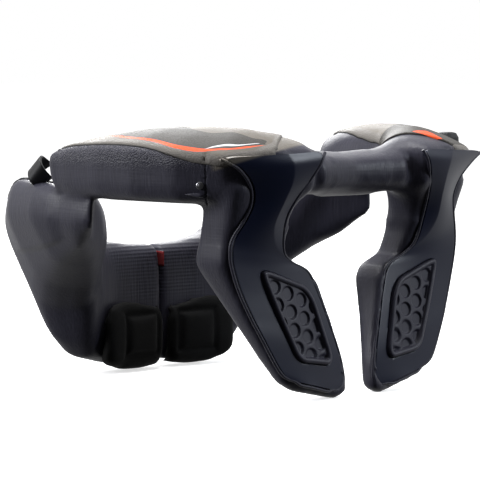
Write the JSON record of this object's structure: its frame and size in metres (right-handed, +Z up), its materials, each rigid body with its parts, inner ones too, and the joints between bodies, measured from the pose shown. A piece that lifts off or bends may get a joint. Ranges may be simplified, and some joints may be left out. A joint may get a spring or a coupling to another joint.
{
  "type": "motocross neck brace",
  "caption": "Padded foam neck ring with broad side wings, rear spine legs and a split chest piece, worn over the shoulders to limit head travel.",
  "frame": {"origin": "under the middle of the brace's box, on the surface that the leg tips and chest pads stand on", "axes": "+Z up, -Y the way the wearer faces, +X the wearer's left"},
  "size_m": [0.2882, 0.2674, 0.1842],
  "materials": {
    "foam_skin": "ribbed moulded fabric over foam, satin",
    "panel_skin": "matte grained panel with printed stripe",
    "moulded_plate": "satin moulded shell",
    "pad_cloth": "soft brushed cloth",
    "strap_rubber": "matte rubber and webbing",
    "red_cloth": "woven tab"
  },
  "bodies": {
    "root": {"wing_foam_left": "foam_skin", "wing_foam_right": "foam_skin", "wing_panel_left": "panel_skin", "wing_panel_right": "panel_skin", "wing_rivet_left": "moulded_plate", "wing_rivet_right": "moulded_plate", "seam_tab_left": "moulded_plate", "seam_tab_right": "moulded_plate", "leg_foam_left": "foam_skin", "leg_foam_right": "foam_skin", "leg_plate_left": "moulded_plate", "leg_plate_right": "moulded_plate", "pattern_inset_left": "moulded_plate", "pattern_inset_right": "moulded_plate", "chest_foam_left": "foam_skin", "chest_foam_right": "foam_skin", "chest_pad_left": "pad_cloth", "chest_pad_right": "pad_cloth", "rear_bridge": "foam_skin", "closure_strap": "strap_rubber", "strap_keeper": "strap_rubber", "closure_clasp": "strap_rubber", "pull_tab": "red_cloth", "wing_stop_right": "strap_rubber"}
  },
  "joints": []
}
